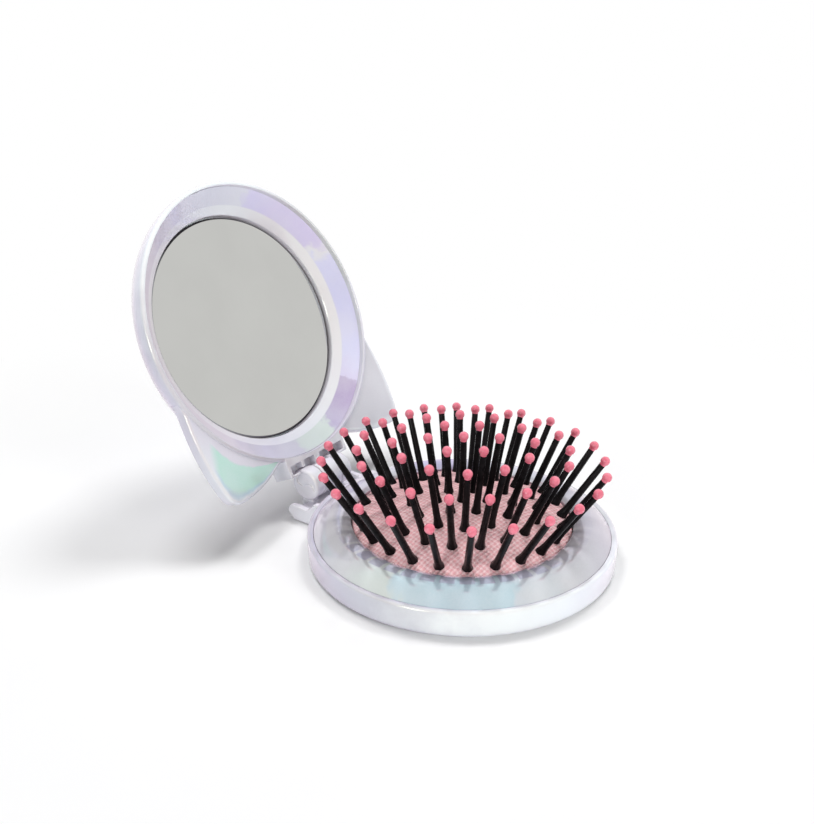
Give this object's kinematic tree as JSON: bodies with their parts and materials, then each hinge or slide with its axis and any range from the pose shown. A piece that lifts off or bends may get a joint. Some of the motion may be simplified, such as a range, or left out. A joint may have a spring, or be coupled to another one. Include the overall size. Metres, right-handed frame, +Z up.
{
  "type": "styling brush with mirror",
  "caption": "Round folding pocket brush: hinged lid with pointed ears and a mirror, and a pop-up rubber cushion of splayed ball-tipped pins in a crowned base.",
  "frame": {"origin": "middle of the box of the open brush, at the height of the base's underside", "axes": "+Z up out of the base, +Y from the base towards the hinge, +X along the hinge pin"},
  "size_m": [0.072, 0.1168, 0.078],
  "materials": {
    "shell": "pearlescent gloss",
    "collar": "pearlescent gloss",
    "inner_plastic": "matte",
    "steel": "drawn wire",
    "cushion": "fine woven grain, matte",
    "pins": "satin nylon with pink ball ends",
    "mirror": "polished",
    "foam": "foam tape"
  },
  "bodies": {
    "base": {"base_shell": "shell", "base_collar": "collar", "cushion_clamp_ring": "inner_plastic", "hinge_pin": "steel"},
    "bristle_pad": {"bristle_cushion": "cushion", "inner_pins": "pins"},
    "middle_pins_1_arc": {"middle_pins_1": "pins"},
    "middle_pins_2_arc": {"middle_pins_2": "pins"},
    "middle_pins_3_arc": {"middle_pins_3": "pins"},
    "middle_pins_4_arc": {"middle_pins_4": "pins"},
    "middle_pins_5_arc": {"middle_pins_5": "pins"},
    "middle_pins_6_arc": {"middle_pins_6": "pins"},
    "outer_pins_1_arc": {"outer_pins_1": "pins"},
    "outer_pins_2_arc": {"outer_pins_2": "pins"},
    "outer_pins_3_arc": {"outer_pins_3": "pins"},
    "outer_pins_4_arc": {"outer_pins_4": "pins"},
    "outer_pins_5_arc": {"outer_pins_5": "pins"},
    "outer_pins_6_arc": {"outer_pins_6": "pins"},
    "outer_pins_7_arc": {"outer_pins_7": "pins"},
    "outer_pins_8_arc": {"outer_pins_8": "pins"},
    "outer_pins_9_arc": {"outer_pins_9": "pins"},
    "outer_pins_10_arc": {"outer_pins_10": "pins"},
    "outer_pins_11_arc": {"outer_pins_11": "pins"},
    "outer_pins_12_arc": {"outer_pins_12": "pins"},
    "lid": {"lid_shell": "shell", "mirror_frame": "collar", "mirror_glass": "mirror", "mirror_backing_pad": "foam"}
  },
  "joints": [
    {"name": "lid_hinge", "type": "hinge", "parent": "base", "child": "lid", "pos_m": [0, 0.01963, 0.0074], "axis": [1, 0, 0], "range_deg": [0, 115.2]},
    {"name": "bristle_pop", "type": "slide", "parent": "base", "child": "bristle_pad", "axis": [0, 0, 1], "range_m": [-0.0175, 0], "deforming": ["bristle_cushion"]},
    {"name": "middle_lean_1", "type": "hinge", "parent": "bristle_pad", "child": "middle_pins_1_arc", "pos_m": [0.0154, -0.01502, 0.01008], "axis": [0.4305, -0.9026, 0], "range_deg": [0, 17]},
    {"name": "middle_lean_2", "type": "hinge", "parent": "bristle_pad", "child": "middle_pins_2_arc", "pos_m": [0.00134, -0.00536, 0.01008], "axis": [0.9969, -0.0785, 0], "range_deg": [0, 17]},
    {"name": "middle_lean_3", "type": "hinge", "parent": "bristle_pad", "child": "middle_pins_3_arc", "pos_m": [-0.01406, -0.0127, 0.01008], "axis": [0.5664, 0.8241, 0], "range_deg": [0, 17]},
    {"name": "middle_lean_4", "type": "hinge", "parent": "bristle_pad", "child": "middle_pins_4_arc", "pos_m": [-0.0154, -0.02972, 0.01008], "axis": [-0.4305, 0.9026, 0], "range_deg": [0, 17]},
    {"name": "middle_lean_5", "type": "hinge", "parent": "bristle_pad", "child": "middle_pins_5_arc", "pos_m": [-0.00134, -0.03939, 0.01008], "axis": [-0.9969, 0.0785, 0], "range_deg": [0, 17]},
    {"name": "middle_lean_6", "type": "hinge", "parent": "bristle_pad", "child": "middle_pins_6_arc", "pos_m": [0.01406, -0.03204, 0.01008], "axis": [-0.5664, -0.8241, 0], "range_deg": [0, 17]},
    {"name": "outer_lean_1", "type": "hinge", "parent": "bristle_pad", "child": "outer_pins_1_arc", "pos_m": [0.01851, -0.0181, 0.006], "axis": [0.225, -0.9744, 0], "range_deg": [0, 29]},
    {"name": "outer_lean_2", "type": "hinge", "parent": "bristle_pad", "child": "outer_pins_2_arc", "pos_m": [0.0139, -0.00941, 0.006], "axis": [0.682, -0.7314, 0], "range_deg": [0, 29]},
    {"name": "outer_lean_3", "type": "hinge", "parent": "bristle_pad", "child": "outer_pins_3_arc", "pos_m": [0.00556, -0.0042, 0.006], "axis": [0.9563, -0.2924, 0], "range_deg": [0, 29]},
    {"name": "outer_lean_4", "type": "hinge", "parent": "bristle_pad", "child": "outer_pins_4_arc", "pos_m": [-0.00427, -0.00386, 0.006], "axis": [0.9744, 0.225, 0], "range_deg": [0, 29]},
    {"name": "outer_lean_5", "type": "hinge", "parent": "bristle_pad", "child": "outer_pins_5_arc", "pos_m": [-0.01296, -0.00848, 0.006], "axis": [0.7314, 0.682, 0], "range_deg": [0, 29]},
    {"name": "outer_lean_6", "type": "hinge", "parent": "bristle_pad", "child": "outer_pins_6_arc", "pos_m": [-0.01817, -0.01682, 0.006], "axis": [0.2924, 0.9563, 0], "range_deg": [0, 29]},
    {"name": "outer_lean_7", "type": "hinge", "parent": "bristle_pad", "child": "outer_pins_7_arc", "pos_m": [-0.01851, -0.02665, 0.006], "axis": [-0.225, 0.9744, 0], "range_deg": [0, 29]},
    {"name": "outer_lean_8", "type": "hinge", "parent": "bristle_pad", "child": "outer_pins_8_arc", "pos_m": [-0.0139, -0.03533, 0.006], "axis": [-0.682, 0.7314, 0], "range_deg": [0, 29]},
    {"name": "outer_lean_9", "type": "hinge", "parent": "bristle_pad", "child": "outer_pins_9_arc", "pos_m": [-0.00556, -0.04054, 0.006], "axis": [-0.9563, 0.2924, 0], "range_deg": [0, 29]},
    {"name": "outer_lean_10", "type": "hinge", "parent": "bristle_pad", "child": "outer_pins_10_arc", "pos_m": [0.00427, -0.04088, 0.006], "axis": [-0.9744, -0.225, 0], "range_deg": [0, 29]},
    {"name": "outer_lean_11", "type": "hinge", "parent": "bristle_pad", "child": "outer_pins_11_arc", "pos_m": [0.01296, -0.03627, 0.006], "axis": [-0.7314, -0.682, 0], "range_deg": [0, 29]},
    {"name": "outer_lean_12", "type": "hinge", "parent": "bristle_pad", "child": "outer_pins_12_arc", "pos_m": [0.01817, -0.02793, 0.006], "axis": [-0.2924, -0.9563, 0], "range_deg": [0, 29]}
  ],
  "couplings": [
    {"joint": "bristle_pop", "follows": "lid_hinge", "m_per_rad": -0.0087037},
    {"joint": "middle_lean_1", "follows": "lid_hinge", "ratio": 0.14756},
    {"joint": "middle_lean_2", "follows": "lid_hinge", "ratio": 0.14756},
    {"joint": "middle_lean_3", "follows": "lid_hinge", "ratio": 0.14756},
    {"joint": "middle_lean_4", "follows": "lid_hinge", "ratio": 0.14756},
    {"joint": "middle_lean_5", "follows": "lid_hinge", "ratio": 0.14756},
    {"joint": "middle_lean_6", "follows": "lid_hinge", "ratio": 0.14756},
    {"joint": "outer_lean_1", "follows": "lid_hinge", "ratio": 0.25173},
    {"joint": "outer_lean_2", "follows": "lid_hinge", "ratio": 0.25173},
    {"joint": "outer_lean_3", "follows": "lid_hinge", "ratio": 0.25173},
    {"joint": "outer_lean_4", "follows": "lid_hinge", "ratio": 0.25173},
    {"joint": "outer_lean_5", "follows": "lid_hinge", "ratio": 0.25173},
    {"joint": "outer_lean_6", "follows": "lid_hinge", "ratio": 0.25173},
    {"joint": "outer_lean_7", "follows": "lid_hinge", "ratio": 0.25173},
    {"joint": "outer_lean_8", "follows": "lid_hinge", "ratio": 0.25173},
    {"joint": "outer_lean_9", "follows": "lid_hinge", "ratio": 0.25173},
    {"joint": "outer_lean_10", "follows": "lid_hinge", "ratio": 0.25173},
    {"joint": "outer_lean_11", "follows": "lid_hinge", "ratio": 0.25173},
    {"joint": "outer_lean_12", "follows": "lid_hinge", "ratio": 0.25173}
  ]
}
